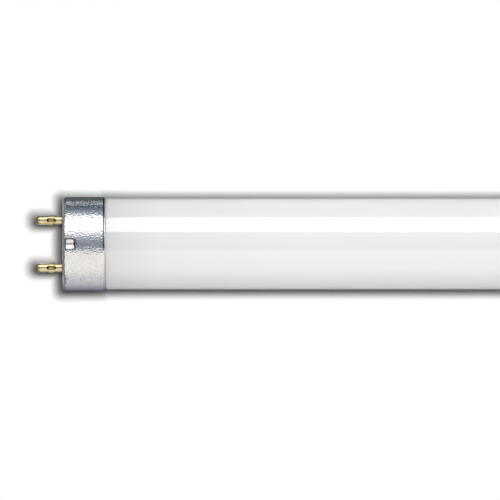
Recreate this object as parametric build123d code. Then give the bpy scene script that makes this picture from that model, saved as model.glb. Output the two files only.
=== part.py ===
from build123d import *
import os
from math import cos, radians, sin, tan

# A straight tubular fluorescent lamp with a two-pin cap at each end.
# The tube's axis is X and the origin is the middle of the lamp. The pins of a cap stand apart along Y.
# Each end is drawn in a cap frame: X is 0 at the cap's outer face and grows into the lamp.

# The whole lamp, from the outer face of one cap to the other's
face_to_face = 589.8

# Glass tube
glass_diameter = 24.3
glass_wall = 0.7
glass_setback = 5.0
rim_bend_radius = 2.0
shoulder_length = 1.3
shoulder_cover = 0.55

# Stem, melted to the tube: the flare, the exhaust tube and the pinch round the wires
flare_angle = 20.0
stem_bore_radius = 4.2
stem_plug_length = 2.6
pinch_length = 7.0
pinch_thickness = 3.2
pinch_edge_radius = 1.0
exhaust_radius = 2.1
exhaust_wall = 0.6
exhaust_tip_gap = 1.2
exhaust_way_radius = 0.7

# Cap shell, drawn from thin sheet
shell_step = 0.4
shell_wall = 0.35
shell_length = 11.2
shell_corner_radius = 1.1
shell_turn_in = 2.65
shell_rim_taper_length = 0.45
shell_rim_taper_depth = 0.2

# Stakes, pressed into the shell to lock the disc
stake_setback = 0.6
stake_length = 3.2
stake_width = 3.4
stake_corner_radius = 1.2
stake_edge_depth = 0.38
stake_flank_angle = 22.0
stake_groove_radius = 0.8
stake_draft = 30.0
stake_tilt = 4.0

# Insulator disc
disc_thickness = 1.6
disc_recess = 0.1
disc_clearance = 0.05

# Basing cement
cement_thickness = 0.6
cement_rim_gap = 0.7

# Contact pins
pin_spacing = 12.7
pin_length = 7.1
pin_diameter = 2.35
pin_wall = 0.35
pin_nose_radius = 0.65
pin_clearance = 0.02
pin_tail_diameter = 2.75
pin_collar_width = 0.5
pin_collar_height = 0.4
pin_flange_width = 0.5
pin_flange_height = 0.5

# Crimp that holds the wire in the pin
crimp_from_face = 3.1
crimp_length = 2.6
crimp_tool_radius = 0.6
crimp_grip_clearance = 0.02
crimp_swell = 0.14
crimp_swell_length = 4.4
crimp_squeeze = 0.025

# Lead wires
wire_diameter = 0.6
wire_offset_in_stem = 3.15
wire_seal_length = 4.0
wire_straight_behind_pin = 1.0
wire_slant_length = 4.5
wire_bend_radius = 3.0
wire_end_gap = 0.3
wire_nose_clearance = 0.08

# Radii and places that follow from the sizes above
glass_radius = glass_diameter / 2
shell_radius = glass_radius + shell_step
shell_bore_radius = shell_radius - shell_wall
shell_corner_height = shell_radius - shell_corner_radius
face_opening_radius = shell_radius - shell_turn_in
neck_radius = shell_bore_radius - cement_thickness
disc_back = shell_wall + disc_thickness
pin_radius = pin_diameter / 2
pin_bore_radius = pin_radius - pin_wall
pin_tail_radius = pin_tail_diameter / 2
pin_back = disc_back + pin_flange_height
wire_radius = wire_diameter / 2
rim_centre = (glass_setback + rim_bend_radius, neck_radius - rim_bend_radius)
flare_height = rim_centre[1] - rim_bend_radius * cos(radians(flare_angle))
flare_start = rim_centre[0] - rim_bend_radius * sin(radians(flare_angle))
funnel_floor = flare_start + (flare_height - stem_bore_radius) / tan(radians(flare_angle))
shoulder_start = shell_length - shoulder_cover
shoulder_end = shoulder_start + shoulder_length
lamp_middle = face_to_face / 2


def turned(*outline):
    """Turns a closed outline, drawn with X along the lamp and Y as its radius, round the lamp's axis."""
    return revolve(make_face(outline), axis=Axis.X)


def cylinder_between(start, end, radius):
    """A round bar on the lamp's axis, from one X to another."""
    return Pos((start + end) / 2, 0, 0) * Rot(0, 90, 0) * Cylinder(radius, end - start)


def shoulder(neck_height, full_height):
    """The glass's step from neck to full size: two equal arcs that meet at the middle of the step."""
    middle = ((shoulder_start + shoulder_end) / 2, (neck_height + full_height) / 2)
    first = TangentArc((shoulder_start, neck_height), middle, tangent=(1, 0))
    return first + TangentArc(middle, (shoulder_end, full_height), tangent=first % 1)


def glass_end():
    """One end of the glass up to the lamp's middle: wall, shoulder, neck, flare, exhaust tube and pinch."""
    bore_height = glass_radius - glass_wall
    neck_bore = neck_radius - glass_wall
    flare_back = stem_bore_radius + glass_wall / cos(radians(flare_angle))
    plug_end = funnel_floor + stem_plug_length
    exhaust_bore = exhaust_radius - exhaust_wall
    exhaust_tip = disc_back + exhaust_tip_gap
    tip_centre = (exhaust_tip + exhaust_radius, 0)
    bore_end = plug_end - exhaust_wall
    outer_rim = CenterArc(rim_centre, rim_bend_radius, 90, 180 - flare_angle)
    inner_rim = CenterArc(rim_centre, rim_bend_radius - glass_wall, 90, 180 - flare_angle)
    outer_tip = CenterArc(tip_centre, exhaust_radius, 90, 90)
    inner_tip = CenterArc(tip_centre, exhaust_bore, 90, 90)
    body = turned(
        Line((lamp_middle, glass_radius), (shoulder_end, glass_radius)),
        shoulder(neck_radius, glass_radius),
        Line((shoulder_start, neck_radius), outer_rim @ 0),
        outer_rim,
        Line(outer_rim @ 1, (funnel_floor, stem_bore_radius)),
        Polyline((funnel_floor, stem_bore_radius), (funnel_floor, exhaust_radius), outer_tip @ 0),
        outer_tip,
        Line(outer_tip @ 1, inner_tip @ 1),
        inner_tip,
        Polyline(inner_tip @ 0, (bore_end, exhaust_bore), (bore_end, 0), (plug_end, 0)),
        Polyline((plug_end, 0), (plug_end, stem_bore_radius), (funnel_floor, flare_back), inner_rim @ 1),
        inner_rim,
        Line(inner_rim @ 0, (shoulder_start, neck_bore)),
        shoulder(neck_bore, bore_height),
        Polyline((shoulder_end, bore_height), (lamp_middle, bore_height), (lamp_middle, glass_radius)),
    )
    way_height = 2 * flare_back
    way = Cylinder(exhaust_way_radius, way_height, align=(Align.CENTER, Align.CENTER, Align.MIN))
    return body + pinch() - Pos(bore_end - exhaust_way_radius, 0, 0) * way


def pinch():
    """The flat end of the stem, where the hot glass was pinched over the wires."""
    block = Box(pinch_length, 2 * stem_bore_radius, pinch_thickness)
    block = fillet(block.edges().filter_by(Axis.X), pinch_edge_radius)
    return Pos(funnel_floor + stem_plug_length / 2 + pinch_length / 2, 0, 0) * block


def cap_shell():
    """The drawn cup, with its end turned in and a stake pressed into its top and its bottom."""
    corner = (shell_corner_radius, shell_corner_height)
    outer_corner = CenterArc(corner, shell_corner_radius, 90, 90)
    inner_corner = CenterArc(corner, shell_corner_radius - shell_wall, 90, 90)
    taper_start = (shell_length - shell_rim_taper_length, shell_radius)
    rim = (shell_length, shell_radius - shell_rim_taper_depth)
    cup = turned(
        Polyline(rim, taper_start, outer_corner @ 0),
        outer_corner,
        Polyline(outer_corner @ 1, (0, face_opening_radius), (shell_wall, face_opening_radius), inner_corner @ 1),
        inner_corner,
        Polyline(inner_corner @ 0, (shell_length, shell_bore_radius), rim),
    )
    outer_form = turned(
        Polyline((0, 0), (shell_length, 0), rim, taper_start, outer_corner @ 0),
        outer_corner,
        Line(outer_corner @ 1, (0, 0)),
    )
    for punch, tongue in zip(stakes(0), stakes(shell_wall)):
        cup = cup + (tongue & outer_form) - punch
    return cup


def stakes(grow):
    """The vee-faced punches of the top and bottom stakes, grown all round by a wall or a clearance."""
    angle = radians(stake_flank_angle)
    half = stake_width / 2 + grow
    floor = shell_radius - stake_edge_depth - stake_width / 2 * tan(angle) - grow / cos(angle)
    edge = floor + half * tan(angle)
    start = stake_setback - grow
    end = stake_setback + stake_length + grow
    top = shell_radius + (stake_setback + stake_length) * tan(radians(stake_tilt)) + grow
    slope = tan(radians(stake_draft))
    spread = (top - shell_radius) * slope
    plan_start = start - (top - floor) * slope
    plan_length = end + spread - plan_start
    outline = Polyline((half, edge), (0, floor), (-half, edge), (-half, top), (half, top), close=True)
    groove = make_face(outline)
    groove = fillet(groove.vertices().group_by(Axis.Y)[0], stake_groove_radius + grow)
    section = Plane(origin=(start, 0, 0), x_dir=(0, 1, 0), z_dir=(1, 0, 0)) * groove
    plan = Pos(plan_start + plan_length / 2, 0) * Rectangle(plan_length, 2 * (half + spread))
    round_end = min(stake_corner_radius + grow, 0.9 * half) + spread
    plan = fillet(plan.vertices().group_by(Axis.X)[-1], round_end)
    walls = extrude(Pos(0, 0, top) * Rot(180, 0, 0) * plan, top - floor, taper=stake_draft)
    punch = extrude(section, end - start + spread) & walls
    upper = Pos(0, 0, shell_radius) * Rot(0, stake_tilt, 0) * Pos(0, 0, -shell_radius) * punch
    return upper, Rot(180, 0, 0) * upper


def insulator_disc():
    """The disc behind the shell's turned-in end: a step fills the opening, and notches take the stakes."""
    radius = shell_bore_radius - disc_clearance
    step_radius = face_opening_radius - disc_clearance
    disc = turned(
        Polyline(
            (disc_back, 0),
            (disc_back, radius),
            (shell_corner_radius, radius),
            (shell_wall, shell_corner_height - disc_clearance),
            (shell_wall, step_radius),
            (disc_recess, step_radius),
            (disc_recess, 0),
            close=True,
        )
    )
    for notch in stakes(shell_wall + disc_clearance):
        disc = disc - notch
    hole = cylinder_between(-shell_length, shell_length, pin_tail_radius + pin_clearance)
    seat_radius = pin_radius + pin_collar_width + pin_clearance
    seat = cylinder_between(-shell_length, disc_recess + pin_collar_height, seat_radius)
    for side in (1, -1):
        disc = disc - Pos(0, side * pin_spacing / 2, 0) * (hole + seat)
    return disc


def contact_pin():
    """A hollow pin on the cap's axis: round nose, collar and flange that grip the disc, and the crimp."""
    nose = (pin_nose_radius - pin_length, pin_radius - pin_nose_radius)
    outer_nose = CenterArc(nose, pin_nose_radius, 90, 90)
    nose_hole = wire_radius + wire_nose_clearance
    collar_radius = pin_radius + pin_collar_width
    collar_back = disc_recess + pin_collar_height
    flange_radius = pin_tail_radius + pin_flange_width
    pin = turned(
        outer_nose,
        Polyline(
            outer_nose @ 0,
            (disc_recess, pin_radius),
            (disc_recess, collar_radius),
            (collar_back, collar_radius),
            (collar_back, pin_tail_radius),
            (disc_back, pin_tail_radius),
            (disc_back, flange_radius),
            (pin_back, flange_radius),
            (pin_back, pin_tail_radius - pin_wall),
            (collar_back, pin_tail_radius - pin_wall),
            (disc_recess, pin_bore_radius),
            (nose[0], pin_bore_radius),
            (pin_wall - pin_length, nose_hole),
            (-pin_length, nose_hole),
            outer_nose @ 1,
        ),
    )
    bore = cylinder_between(nose[0], disc_recess, pin_bore_radius)
    swell = scale(
        Sphere(1), by=(crimp_swell_length / 2, pin_radius + crimp_swell, pin_radius - crimp_squeeze)
    )
    pin = pin + (Pos(-crimp_from_face, 0, 0) * swell - bore)
    depth = pin_bore_radius - wire_radius - crimp_grip_clearance
    height = pin_radius - depth + crimp_tool_radius
    for side in (1, -1):
        place = Pos(-crimp_from_face, 0, side * height)
        dent = place * capsule(crimp_tool_radius + pin_wall, crimp_length + 2 * pin_wall) & bore
        pin = pin + dent - place * capsule(crimp_tool_radius, crimp_length)
    return pin


def capsule(radius, length):
    """A rod along X with round ends, centred on the origin."""
    straight = length - 2 * radius
    ends = Pos(-straight / 2, 0, 0) * Sphere(radius) + Pos(straight / 2, 0, 0) * Sphere(radius)
    return cylinder_between(-straight / 2, straight / 2, radius) + ends


def lead_wire(side):
    """The wire from the pinch to its pin's nose; side is 1 for the rear pin and -1 for the front."""
    stem_y = side * wire_offset_in_stem
    pin_y = side * pin_spacing / 2
    slant_end = pin_back + wire_straight_behind_pin
    route = FilletPolyline(
        (funnel_floor + wire_seal_length, stem_y),
        (slant_end + wire_slant_length, stem_y),
        (slant_end, pin_y),
        (pin_wall + wire_end_gap - pin_length, pin_y),
        radius=wire_bend_radius,
    )
    start = Plane(origin=route @ 0, z_dir=route % 0)
    return sweep(start * Circle(wire_radius), path=route)


def basing_cement():
    """The ring of cement between the glass neck and the shell."""
    span = (rim_centre[0], shell_length - cement_rim_gap)
    return cylinder_between(*span, shell_bore_radius) - cylinder_between(*span, neck_radius)


def at_end(piece, turn):
    """Moves a piece from the cap frame to the lamp's end: turn is 0 for the left and 180 for the right."""
    return Rot(0, 0, turn) * Pos(-lamp_middle, 0, 0) * piece


wires = {side: lead_wire(side) for side in (1, -1)}
half_glass = glass_end() - wires[1] - wires[-1]
cap_pieces = {
    "cap_shell": cap_shell(),
    "insulator_disc": insulator_disc(),
    "basing_cement": basing_cement(),
}
pin = contact_pin()

parts = {"glass_tube": at_end(half_glass, 0) + at_end(half_glass, 180)}
for end, turn in (("left", 0), ("right", 180)):
    for name, piece in cap_pieces.items():
        parts[f"{name}_{end}"] = at_end(piece, turn)
    for row, side in (("rear", 1), ("front", -1)):
        cap_side = side if turn == 0 else -side
        parts[f"contact_pin_{end}_{row}"] = at_end(Pos(0, cap_side * pin_spacing / 2, 0) * pin, turn)
        parts[f"lead_wire_{end}_{row}"] = at_end(wires[cap_side], turn)

os.makedirs("parts", exist_ok=True)
for name, part in parts.items():
    export_step(part, f"parts/{name}.step")
    print(name, "volume", round(part.volume, 2), "mm3")
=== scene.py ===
# %% [markdown]
# # A straight fluorescent lamp
# The lamp is a white coated glass tube with an aluminium cap and two brass pins at each end.
# Its solids come in as a fixed frame, at their real size. What is left for this file is the light,
# the camera and the finishes, so that each piece looks like what it is made of.

# %% Load the frame
from math import cos, pi, radians, sin, tan

import bpy
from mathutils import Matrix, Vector


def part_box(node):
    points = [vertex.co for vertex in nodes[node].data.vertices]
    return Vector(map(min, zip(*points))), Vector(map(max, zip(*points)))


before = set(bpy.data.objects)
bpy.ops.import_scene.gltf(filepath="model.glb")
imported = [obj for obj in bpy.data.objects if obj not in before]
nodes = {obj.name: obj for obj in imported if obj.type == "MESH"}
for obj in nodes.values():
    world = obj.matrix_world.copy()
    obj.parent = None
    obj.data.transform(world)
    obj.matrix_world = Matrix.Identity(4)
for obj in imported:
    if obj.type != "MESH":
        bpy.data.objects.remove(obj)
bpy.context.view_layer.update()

MM = 0.001
WHITE = (1, 1, 1)


# %% [markdown]
# ## Where things are
# The tube lies along X with its middle at the origin, and the cap that we look at is the left one.
# Places could be typed in, but they come from the solids' own boxes, so they stay right if the lamp changes.

# %% Measure the lamp
cap_low, cap_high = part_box("cap_shell_left")
pin_low, pin_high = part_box("contact_pin_left_rear")
cap_face_x = cap_low.x
rim_x = cap_high.x
pin_tip_x = pin_low.x
pin_y = (pin_low.y + pin_high.y) / 2
cap_radius = cap_high.z
glass_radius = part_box("glass_tube")[1].y
floor_z = -cap_radius
print("cap radius mm", round(cap_radius / MM, 3), "glass radius mm", round(glass_radius / MM, 3))

# %% [markdown]
# ## The camera
# The lamp is seen from straight above and its two sides stay parallel. A camera without perspective could
# show that, but real ones have a little, so this one has a long lens and stands six metres away.
# The picture is 133.65 mm wide at the lamp's axis and shows the left end.

# %% Set up the camera
view_distance = 6.0
view_width = 133.65 * MM
view_centre = (-244.9 * MM, -1.6 * MM)
camera_data = bpy.data.cameras.new("camera")
camera_data.sensor_width = 36.0
camera_data.lens = camera_data.sensor_width * view_distance / view_width
camera_data.clip_start = 0.1
camera_data.clip_end = 100.0
camera = bpy.data.objects.new("camera", camera_data)
camera.location = (*view_centre, view_distance)
bpy.context.scene.collection.objects.link(camera)
bpy.context.scene.camera = camera
print("lens mm", round(camera_data.lens, 1))

# %% [markdown]
# ## How a finish is made
# A finish is a small network of nodes that ends in a shader. The nodes could be laid out by hand in the
# shader editor. Here a small class adds and joins them, so each finish below reads as a short list.


# %% A class for one finish
class Finish:
    """One material, with short ways to add nodes and join them."""

    def __init__(self, name):
        self.material = bpy.data.materials.new(name)
        self.material.use_nodes = True
        self.tree = self.material.node_tree
        self.tree.nodes.clear()
        self.output = self.node("ShaderNodeOutputMaterial")

    def node(self, kind, **settings):
        made = self.tree.nodes.new(kind)
        for key, value in settings.items():
            setattr(made, key, value)
        return made

    def join(self, source, target):
        self.tree.links.new(source, target)

    def shader(self, **sockets):
        """The main shader. A socket's name is written with underscores for its spaces."""
        made = self.node("ShaderNodeBsdfPrincipled")
        for key, value in sockets.items():
            made.inputs[key.replace("_", " ")].default_value = value
        self.join(made.outputs["BSDF"], self.output.inputs["Surface"])
        return made


def dress(finish, *starts):
    """Gives a finish to every node whose name starts with one of these words."""
    dressed = [node for name, node in nodes.items() if name.startswith(starts)]
    for node in dressed:
        node.data.materials[0] = finish.material
    print(finish.material.name, "on", len(dressed), "nodes")


# %% [markdown]
# ## Sums and places
# A pattern is worked out from the place of each point. Patterns could be painted on by hand, but sums are
# even and easy to change. Object coordinates give the place in metres from the lamp's middle, and they
# stay with the piece wherever the camera stands.

# %% Sums on numbers and on points
def maths(finish, operation, first, second=None):
    """One sum on one or two numbers."""
    made = finish.node("ShaderNodeMath", operation=operation)
    finish.join(first, made.inputs[0])
    if second is not None:
        finish.join(second, made.inputs[1])
    return made.outputs["Value"]


def vector(finish, operation, first, second=None):
    """Vector arithmetic: second is an output of a node, three numbers or nothing."""
    made = finish.node("ShaderNodeVectorMath", operation=operation)
    finish.join(first, made.inputs[0])
    if isinstance(second, tuple):
        made.inputs[1].default_value = second
    elif second is not None:
        finish.join(second, made.inputs[1])
    return made.outputs["Value" if operation == "LENGTH" else "Vector"]


# %% The place of a point
def place(finish, scale=(1, 1, 1)):
    """The point on the object, stretched by a scale along each axis."""
    point = finish.node("ShaderNodeTexCoord")
    mapping = finish.node("ShaderNodeMapping")
    mapping.inputs["Scale"].default_value = scale
    finish.join(point.outputs["Object"], mapping.inputs["Vector"])
    return mapping.outputs["Vector"]


def along(finish, axis):
    """How far a point is from the lamp's middle along X, Y or Z, with its sign."""
    apart = finish.node("ShaderNodeSeparateXYZ")
    finish.join(place(finish), apart.inputs["Vector"])
    return apart.outputs[axis]


def from_middle(finish):
    """How far a point is from the lamp's middle, the same towards both ends."""
    return maths(finish, "ABSOLUTE", along(finish, "X"))


# %% [markdown]
# ## Grain, tone and bump
# Noise over the place gives a soft random grain. A ramp turns it into colour, and a bump node into a
# slightly uneven surface. Pictures of real surfaces could do the same, but noise needs no file and has
# no seams.

# %% A grain, and numbers that follow it
def grain(finish, per_mm, over=None, detail=2.0, rough=0.5):
    """A soft random pattern with about that many grains to the millimetre."""
    made = finish.node("ShaderNodeTexNoise")
    made.inputs["Scale"].default_value = per_mm / MM
    made.inputs["Detail"].default_value = detail
    made.inputs["Roughness"].default_value = rough
    finish.join(over or place(finish), made.inputs["Vector"])
    return made.outputs["Fac"]


def rescale(finish, source, low, high, to_low=0, to_high=1):
    """Carries a number from one span to another, and stops at the ends."""
    made = finish.node("ShaderNodeMapRange")
    made.inputs["From Min"].default_value = low
    made.inputs["From Max"].default_value = high
    made.inputs["To Min"].default_value = to_low
    made.inputs["To Max"].default_value = to_high
    finish.join(source, made.inputs["Value"])
    return made.outputs["Result"]


# %% Colour and bump from a number
def ramp(finish, source, *stops):
    """Turns a number into a colour: stops are (number, (red, green, blue))."""
    made = finish.node("ShaderNodeValToRGB")
    bar = made.color_ramp.elements
    bar.remove(bar[1])
    bar[0].position = stops[0][0]
    bar[0].color = (*stops[0][1], 1)
    for at, colour in stops[1:]:
        bar.new(at).color = (*colour, 1)
    finish.join(source, made.inputs["Fac"])
    return made.outputs["Color"]


def bump(finish, source, height):
    """Raises the surface by a pattern, at most that many millimetres."""
    made = finish.node("ShaderNodeBump")
    made.inputs["Strength"].default_value = 1.0
    made.inputs["Distance"].default_value = height * MM
    finish.join(source, made.inputs["Height"])
    return made.outputs["Normal"]


# %% [markdown]
# ## Glass with a white coating
# The tube is clear glass with white powder baked on the inside. The powder gives the soft white, and the
# smooth glass over it the one sharp reflection. Clear glass round a white layer could be traced as it is,
# but a clear coat over a white base looks much the same from outside and renders faster.
# Drawn glass has faint lines along its length, and the white is made darker over the last 50 mm towards the
# cap.

# %% The glass finish
glass = Finish("coated_glass")
glass_shader = glass.shader(
    Roughness=0.5, IOR=1.45, Specular_IOR_Level=0.0, Coat_Weight=1.0, Coat_Roughness=0.015, Coat_IOR=1.5
)
# The white is darker over this length towards the cap.
grey_end = 50 * MM
from_cap = rescale(glass, from_middle(glass), -rim_x, -rim_x - grey_end)
end_tone = ramp(
    glass,
    from_cap,
    (0.0, (0.70, 0.70, 0.70)),
    (0.04, (0.78, 0.78, 0.78)),
    (0.28, (0.882, 0.892, 0.90)),
    (1.0, (0.932, 0.937, 0.943)),
)
streaks = grain(glass, 0.35, over=place(glass, (0.01, 1, 1)), detail=3.0)
streak_tone = ramp(glass, streaks, (0.35, (0.985, 0.985, 0.985)), (0.65, WHITE))
glass.join(vector(glass, "MULTIPLY", end_tone, streak_tone), glass_shader.inputs["Base Color"])
glass.join(bump(glass, streaks, height=0.001), glass_shader.inputs["Coat Normal"])
dress(glass, "glass_tube")

# %% [markdown]
# ## Drawn aluminium
# The caps are pressed from thin bright sheet. It is polished but has a fine orange-peel grain from the
# press, which breaks up the edges of each reflection into speckles. The grain is under a tenth of a
# millimetre deep and could be modelled only with a huge mesh, so it is a bump.

# %% Sheet with its grain
aluminium = Finish("cap_aluminium")
aluminium_shader = aluminium.shader(Metallic=1.0, Roughness=0.12)
peel_per_mm = 2.4
peel = grain(aluminium, peel_per_mm, detail=0.0)
sheet_tone = ramp(aluminium, peel, (0.3, (0.82, 0.83, 0.845)), (0.7, (0.95, 0.95, 0.95)))
aluminium.join(bump(aluminium, peel, height=0.072), aluminium_shader.inputs["Normal"])
print("grain of the sheet mm", round(1 / peel_per_mm, 2))

# %% [markdown]
# ## Painted shade in the creases and a painted reflection by the rim
# Where the stake is pressed in, its creases are painted darker: painted shade. Ambient occlusion finds them:
# it says how much of the open a point can see. On the rear half a fine dark line also shows just short of the
# rim, where the edge of the real sheet reflects something dark. The solid's edge is too plain to catch that,
# so a thin ring of
# dark tone is painted in: a painted reflection.

# %% Paint shade into the creases and the dark reflection line
def openness(finish, reach):
    """How open a place is: 1 in the open and less in a hollow, seen over a reach in millimetres."""
    made = finish.node("ShaderNodeAmbientOcclusion", only_local=True, samples=32)
    made.inputs["Distance"].default_value = reach * MM
    return made.outputs["AO"]


# Painted shade: the stake's creases are darkened by how closed in they are.
crease_painted_shade = ramp(aluminium, openness(aluminium, reach=0.45), (0.955, (0.10, 0.10, 0.10)), (0.998, WHITE))
# Painted reflection: a thin dark ring just short of the rim, on the rear half only.
line_zone = 0.56 * MM
painted_reflection_dark = (0.06, 0.06, 0.07)
from_rim = rescale(aluminium, from_middle(aluminium), -rim_x, -rim_x + line_zone)
rim_painted_reflection = ramp(aluminium, from_rim, (0.2, WHITE), (0.4, painted_reflection_dark), (0.75, painted_reflection_dark), (1.0, WHITE))
to_rear = rescale(aluminium, along(aluminium, "Y"), -2 * MM, -1 * MM)
front_mask = ramp(aluminium, to_rear, (0.0, WHITE), (1.0, (0, 0, 0)))
rim_painted_reflection = vector(aluminium, "MAXIMUM", rim_painted_reflection, front_mask)
# The grain's tone, times the painted shade in the creases and the painted reflection at the rim.
tone = vector(aluminium, "MULTIPLY", vector(aluminium, "MULTIPLY", sheet_tone, crease_painted_shade), rim_painted_reflection)
aluminium.join(tone, aluminium_shader.inputs["Base Color"])
dress(aluminium, "cap_shell")

# %% [markdown]
# ## Brass
# The pins are drawn from brass and stay bright. Handling leaves them slightly uneven. One plain colour
# would look like plastic, so the finish has a faint cloud in its colour and its gloss. The crimps' hollows
# and the rounded nose are painted browner as painted shade, since they face darker things.

# %% The brass finish
brass = Finish("pin_brass")
brass_shader = brass.shader(Metallic=1.0)
cloud = grain(brass, 0.8, detail=3.0)
brass_tone = ramp(brass, cloud, (0.3, (0.80, 0.71, 0.38)), (0.7, (0.92, 0.84, 0.49)))
brass.join(rescale(brass, cloud, 0.3, 0.7, 0.14, 0.24), brass_shader.inputs["Roughness"])
brass.join(bump(brass, grain(brass, 2.5), height=0.006), brass_shader.inputs["Normal"])
# Painted shade: the crimps' hollows are darkened to brown by how closed in they are.
hollow_painted_shade = ramp(brass, openness(brass, reach=1.2), (0.72, (0.16, 0.09, 0.03)), (0.93, WHITE))
# Painted shade: the rounded nose is darkened towards its tip, as it faces darker things.
nose_length = 1.2 * MM
from_nose = rescale(brass, from_middle(brass), -pin_tip_x, -pin_tip_x - nose_length)
nose_painted_shade = ramp(brass, from_nose, (0.0, (0.30, 0.22, 0.15)), (0.45, (0.55, 0.50, 0.42)), (1.0, WHITE))
brass_tone = vector(brass, "MULTIPLY", brass_tone, nose_painted_shade)
brass.join(vector(brass, "MULTIPLY", brass_tone, hollow_painted_shade), brass_shader.inputs["Base Color"])
dress(brass, "contact_pin")

# %% [markdown]
# ## The pieces inside the cap
# The disc is brown moulded phenolic with pale filler specks. The cement is matt and crumbly, and the
# lead wires are bare nickel-iron with fine lines from the drawing die. Only the disc shows on the whole
# lamp. One grey could serve the others, but each has a finish of its own, so that it looks right when the
# lamp is taken apart.

# %% The phenolic finish
phenolic = Finish("phenolic")
phenolic_shader = phenolic.shader(Specular_IOR_Level=0.4)
filler = grain(phenolic, 1.8, detail=4.0, rough=0.7)
filler_tone = ramp(
    phenolic, filler, (0.35, (0.085, 0.035, 0.016)), (0.6, (0.16, 0.075, 0.036)), (0.72, (0.26, 0.15, 0.08))
)
phenolic.join(filler_tone, phenolic_shader.inputs["Base Color"])
phenolic.join(rescale(phenolic, filler, 0.3, 0.7, 0.42, 0.6), phenolic_shader.inputs["Roughness"])
phenolic.join(bump(phenolic, filler, height=0.02), phenolic_shader.inputs["Normal"])
dress(phenolic, "insulator_disc")

# %% The cement finish
cement = Finish("cement")
cement_shader = cement.shader(Roughness=0.9, Specular_IOR_Level=0.2)
crumbs = grain(cement, 2.2, detail=5.0, rough=0.7)
crumb_tone = ramp(cement, crumbs, (0.3, (0.42, 0.38, 0.30)), (0.7, (0.62, 0.58, 0.48)))
cement.join(crumb_tone, cement_shader.inputs["Base Color"])
cement.join(bump(cement, crumbs, height=0.08), cement_shader.inputs["Normal"])
dress(cement, "basing_cement")

# %% The wire finish
wire = Finish("lead_wire")
wire_shader = wire.shader(Metallic=1.0, Roughness=0.35)
die_lines = grain(wire, 4.0, over=place(wire, (0.03, 1, 1)))
wire_tone = ramp(wire, die_lines, (0.3, (0.42, 0.40, 0.38)), (0.7, (0.62, 0.60, 0.57)))
wire.join(wire_tone, wire_shader.inputs["Base Color"])
wire.join(bump(wire, die_lines, height=0.01), wire_shader.inputs["Normal"])
dress(wire, "lead_wire")

# %% [markdown]
# ## The floor
# The lamp lies on a plain white floor. Close to it the floor sees less of the room, so a dark soft line
# runs all round the lamp and its pins. Large near lamps could make that line, but the ones used here are
# far away, so it is a painted shadow in the paper's colour. It falls with the distance from the lamp's
# outline, which from above is four plain boxes at each end: the glass, the cap and the two pins. The painted
# shadow lies a little to the left and to the front of them, the way the lamp's shadow falls.

# %% Fold the floor, so that one end's boxes serve both
paper = Finish("floor_paper")
shade_shift = 0.42 * MM
on_floor = vector(paper, "MULTIPLY", paper.node("ShaderNodeTexCoord").outputs["Object"], (1, 1, 0))
left_end = vector(paper, "ADD", on_floor, (shade_shift, 0, 0))
right_end = vector(paper, "MULTIPLY", left_end, (-1, 1, 1))
both_ends = vector(paper, "MAXIMUM", left_end, right_end)
print("the shade lies", round(shade_shift / MM, 2), "mm to the left")


def box_distance(near_x, far_x, front, rear):
    """The distance on the floor to a box, given by its ends from the middle and its two sides."""
    centre = ((near_x + far_x) / 2, (front + rear) / 2, 0)
    half_size = ((far_x - near_x) / 2, (rear - front) / 2, 0)
    apart = vector(paper, "ABSOLUTE", vector(paper, "SUBTRACT", both_ends, centre))
    apart = vector(paper, "MAXIMUM", vector(paper, "SUBTRACT", apart, half_size), (0, 0, 0))
    return vector(paper, "LENGTH", apart)


# %% Measure how far the floor is from the nearest box
cap_sides = (-cap_radius - 0.1 * MM, cap_radius - 0.85 * MM)
glass_sides = (-glass_radius - 0.18 * MM, glass_radius - 0.1 * MM)
pin_front, pin_rear = -0.6 * MM, 0.3 * MM
nearest = box_distance(-rim_x, -cap_face_x, *cap_sides)
nearest = maths(paper, "MINIMUM", nearest, box_distance(0, -rim_x, *glass_sides))
for middle in (-pin_y, pin_y):
    to_pin = box_distance(-cap_face_x, -pin_tip_x, middle + pin_front, middle + pin_rear)
    nearest = maths(paper, "MINIMUM", nearest, to_pin)
print("cap shade from", round(cap_sides[0] / MM, 2), "to", round(cap_sides[1] / MM, 2), "mm")

# %% Paint the shadow into the paper by that distance
shade_reach = 3.52 * MM
shade_darkest = 0.235
shade_steps = 11


def shade(share):
    """How light the floor is at a share of the reach: slow to rise beside the lamp, then steadily."""
    soft = share * share * (3 - 2 * share)
    return shade_darkest + (1 - shade_darkest) * (soft + share ** 1.5) / 2


shade_stops = [(i / shade_steps, (shade(i / shade_steps),) * 3) for i in range(shade_steps + 1)]
paper_shader = paper.node("ShaderNodeBsdfDiffuse")
# Painted shadow: the paper's colour darkens with nearness to the lamp's outline.
painted_shadow_tone = ramp(paper, rescale(paper, nearest, 0, shade_reach), *shade_stops)
paper.join(painted_shadow_tone, paper_shader.inputs["Color"])
paper.join(paper_shader.outputs["BSDF"], paper.output.inputs["Surface"])
print("shade stops:", len(shade_stops))

# %% Lay the floor
floor_half = 8.0
floor_mesh = bpy.data.meshes.new("floor")
corners = [(x * floor_half, y * floor_half, floor_z) for x, y in ((-1, -1), (1, -1), (1, 1), (-1, 1))]
floor_mesh.from_pydata(corners, [], [(0, 1, 2, 3)])
floor_mesh.materials.append(paper.material)
floor = bpy.data.objects.new("floor", floor_mesh)
bpy.context.scene.collection.objects.link(floor)
print("floor at mm", round(floor_z / MM, 2))

# %% [markdown]
# ## Light
# The white glass looks nearly flat, as in a catalogue picture, and only its front side is a little darker.
# One big lamp could do that, but the bright metal would show it. So these are distant lamps, which light
# evenly and are kept out of every reflection, and light linking aims each at what it is meant for.
# The floor has its own lamp, high up and a little to the rear and right, so the shadow is short and soft.
# The tube is lit most from above, less from the rear and from the floor behind it, by a narrow lamp at
# each end, and very faintly from the front.

# %% Groups that the lamps are aimed at
lamp_group = bpy.data.collections.new("lamp_pieces")
for node in nodes.values():
    lamp_group.objects.link(node)
floor_group = bpy.data.collections.new("floor_only")
floor_group.objects.link(floor)


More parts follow.
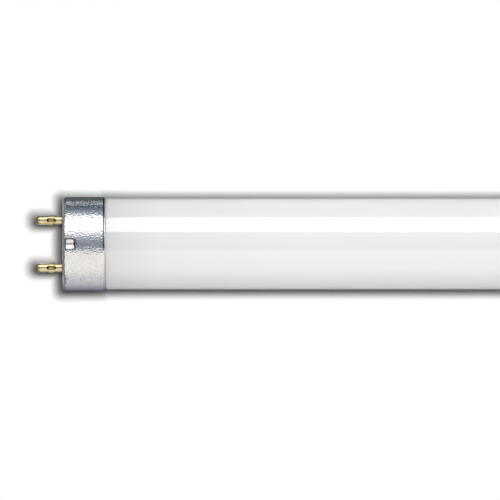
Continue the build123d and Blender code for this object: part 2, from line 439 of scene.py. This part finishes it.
# %% A maker of distant lamps
def distant_light(name, toward, spread, level, colour=WHITE, floor_lamp=False):
    """A lamp far off in the direction toward, so it lights evenly. Level 1 shows a colour as written."""
    data = bpy.data.lights.new(name, "SUN")
    data.energy = level * pi
    data.angle = radians(spread)
    data.color = colour
    made = bpy.data.objects.new(name, data)
    made.rotation_euler = Vector(toward).to_track_quat("Z", "Y").to_euler()
    made.light_linking.receiver_collection = floor_group if floor_lamp else lamp_group
    made.light_linking.blocker_collection = lamp_group
    made.visible_glossy = False
    made.visible_transmission = False
    bpy.context.scene.collection.objects.link(made)
    print(name, "level", level)


# %% Aim the lamps
distant_light("floor_light", (0.05, 0.06, 1), 12, 1.0, floor_lamp=True)
distant_light("tent_top", (0, 0, 1), 60, 0.84)
distant_light("tent_rear", (0, 1, 0), 60, 0.30)
distant_light("floor_bounce", (0, 1, -0.6), 60, 0.46)
distant_light("tent_front", (0, -1, 0.2), 50, 0.06, (1.0, 0.95, 0.97))
distant_light("tent_left", (-1, 0, 0), 20, 0.6)
distant_light("tent_right", (1, 0, 0), 20, 0.6)

# %% [markdown]
# ## What the metal reflects
# Bright metal shows the room, not itself. A picture of a room could be wrapped round the scene, but studio
# cards are easier to place. A card is a long strip beside the lamp that only reflections see. Across the
# strip its colour changes from one stop to the next. The angle says where a round card hangs: 0 is straight
# up, 90 is level at the rear and -90 level at the front.

# %% The card material and a way to hang a card
glow = Finish("card_glow")
glow_colour = glow.node("ShaderNodeAttribute", attribute_name="glow")
glow_shader = glow.node("ShaderNodeEmission")
glow.join(glow_colour.outputs["Color"], glow_shader.inputs["Color"])
glow.join(glow_shader.outputs["Emission"], glow.output.inputs["Surface"])


def hang(name, points, faces, colours):
    """Makes a card that only reflections see, with one colour for each of its points."""
    mesh = bpy.data.meshes.new(name)
    mesh.from_pydata(points, [], faces)
    shades = mesh.color_attributes.new("glow", "FLOAT_COLOR", "POINT")
    for stop, colour in zip(shades.data, colours):
        stop.color = (*colour, 1)
    mesh.materials.append(glow.material)
    made = bpy.data.objects.new(name, mesh)
    made.visible_camera = False
    made.visible_diffuse = False
    made.visible_shadow = False
    bpy.context.scene.collection.objects.link(made)
    print("card", name, "faces", len(faces))


# %% Strips along the lamp
card_half_length = 1.2
card_step = 4
card_lift = 0.5 * MM


def strip(name, rows):
    """A strip along the lamp through rows of (y, z, colour)."""
    points = [(x, y, z) for y, z, colour in rows for x in (-card_half_length, card_half_length)]
    faces = [(2 * i, 2 * i + 1, 2 * i + 3, 2 * i + 2) for i in range(len(rows) - 1)]
    hang(name, points, faces, [colour for y, z, colour in rows for side in (0, 1)])


def round_card(name, distance, *stops):
    """A strip bent round the lamp's axis, through stops of (angle, colour), in steps of about 4 degrees."""
    rows = []
    for (start, first), (end, last) in zip(stops, stops[1:]):
        steps = max(1, round(abs(end - start) / card_step))
        for step in range(steps + 1):
            share = step / steps
            angle = radians(start + (end - start) * share)
            colour = [a + (b - a) * share for a, b in zip(first, last)]
            rows.append((distance * sin(angle), distance * cos(angle), colour))
    strip(name, rows)


def floor_card(name, *stops):
    """A strip that lies just over the floor, through stops of (y in mm, colour)."""
    strip(name, [(y * MM, floor_z + card_lift, colour) for y, colour in stops])


# %% Hang the round cards
screen_distance = 0.8
softbox_distance = 0.78
cream = (0.90, 0.87, 0.835)
slate = (0.23, 0.26, 0.31)
dusk = (0.21, 0.25, 0.30)
softbox_white = (1.6, 1.6, 1.58)
round_card(
    "front_screen", screen_distance,
    (-95, (0.72, 0.70, 0.69)), (-76, (0.78, 0.76, 0.745)), (-66, cream), (-15.5, cream),
)
round_card(
    "dim_ceiling", screen_distance,
    (-15.4, slate), (4, slate), (10, (0.34, 0.37, 0.41)), (15, (0.42, 0.44, 0.48)),
    (20, (0.56, 0.58, 0.61)), (31, (0.78, 0.79, 0.81)),
)
round_card("softbox", softbox_distance, (30, softbox_white), (72, softbox_white))
round_card(
    "rear_screen", screen_distance,
    (71, (0.55, 0.58, 0.63)), (77, (0.40, 0.44, 0.50)), (83, (0.35, 0.39, 0.45)), (87, (0.27, 0.31, 0.37)),
    (92, dusk),
)

# %% Lay the floor cards
pale_gap = (0.62, 0.67, 0.70)
floor_card("rear_floor", (800, dusk), (160, (0.14, 0.17, 0.22)), (48, (0.06, 0.075, 0.10)))
floor_card("rear_gap", (47, pale_gap), (38, pale_gap))
floor_card("rear_strip", (37, (0.05, 0.06, 0.06)), (27, (0.11, 0.13, 0.13)), (13.5, (0.06, 0.07, 0.07)))
floor_card(
    "front_floor",
    (-13.5, (0.07, 0.065, 0.085)), (-19, (0.19, 0.175, 0.21)), (-30, (0.37, 0.35, 0.41)),
    (-60, (0.60, 0.58, 0.60)), (-800, (0.71, 0.69, 0.68)),
)

# %% Close the ends of the tent
end_grey = (0.22, 0.225, 0.235)
end_front, end_rear = -0.9, 0.9
end_height = 0.7
end_gap = 12 * MM
end_lift = 1 * MM


def plate(name, corners):
    """A flat grey card through four corners."""
    hang(name, corners, [(0, 1, 2, 3)], [end_grey] * 4)


for side, end in (("left", -1), ("right", 1)):
    wall_x = end * card_half_length
    foot_x = end * (end_gap - cap_face_x)
    wall = ((end_front, floor_z), (end_rear, floor_z), (end_rear, end_height), (end_front, end_height))
    plate(f"end_{side}", [(wall_x, y, z) for y, z in wall])
    ground = ((foot_x, end_front), (foot_x, end_rear), (wall_x, end_rear), (wall_x, end_front))
    plate(f"end_floor_{side}", [(x, y, floor_z + end_lift) for x, y in ground])

# %% [markdown]
# ## What only the glass reflects
# Glass returns only about a twenty-fifth of what it faces, so cards that suit the metal leave hardly a trace
# on it. Brighter cards could be hung, but the metal would show them too. So the glass gets two lamps of its
# own, which it alone sees, and only as reflections: a strong strip for the bright line, and a weak wide panel
# that makes the front half a little lighter. Both stand nearer than the cards, or the cards would hide them.

# %% A maker of lamps for the glass
glass_group = bpy.data.collections.new("glass_only")
glass_group.objects.link(nodes["glass_tube"])
glass_lamp_distance = 0.6


def glass_lamp(name, start, end, level):
    """A flat lamp along the tube between two angles round it. At level 1 it is a little dimmer than white."""
    data = bpy.data.lights.new(name, "AREA")
    data.shape = "RECTANGLE"
    data.size = 2 * card_half_length
    data.size_y = 2 * glass_lamp_distance * tan(radians(end - start) / 2)
    data.energy = level * pi * data.size * data.size_y
    middle = radians(start + end) / 2
    made = bpy.data.objects.new(name, data)
    made.location = (0, glass_lamp_distance * sin(middle), glass_lamp_distance * cos(middle))
    made.rotation_euler = (-middle, 0, 0)
    made.light_linking.receiver_collection = glass_group
    made.visible_diffuse = False
    made.visible_transmission = False
    bpy.context.scene.collection.objects.link(made)
    print(name, "watts", round(data.energy, 1))


# %% Hang the lamps for the glass
glass_lamp("glass_strip", 31, 70.6, 5.0)
glass_lamp("glass_panel", -87, -16, 1.0)

# %% [markdown]
# ## The background
# The room is white to the camera, and the metal and the glass show that same white wherever no card hangs.
# A plain white world would do for that, but its light would wash out the shade. So it is white where it is
# seen or reflected, and gives no light.

# %% Set up the world
world = bpy.data.worlds.new("studio")
world.use_nodes = True
bpy.context.scene.world = world
sky = world.node_tree
sky.nodes.clear()
rays = sky.nodes.new("ShaderNodeLightPath")
seen = rays.outputs["Is Camera Ray"]
for kind in ("Is Glossy Ray", "Is Transmission Ray"):
    either = sky.nodes.new("ShaderNodeMath")
    either.operation = "MAXIMUM"
    sky.links.new(seen, either.inputs[0])
    sky.links.new(rays.outputs[kind], either.inputs[1])
    seen = either.outputs["Value"]
mix = sky.nodes.new("ShaderNodeMixShader")
sky.links.new(seen, mix.inputs["Fac"])
for socket, room_tone in ((1, (0, 0, 0)), (2, WHITE)):
    background = sky.nodes.new("ShaderNodeBackground")
    background.inputs["Color"].default_value = (*room_tone, 1)
    sky.links.new(background.outputs["Background"], mix.inputs[socket])
sky_output = sky.nodes.new("ShaderNodeOutputWorld")
sky.links.new(mix.outputs["Shader"], sky_output.inputs["Surface"])
bpy.context.scene.view_settings.view_transform = "Standard"
print("world nodes:", len(sky.nodes))
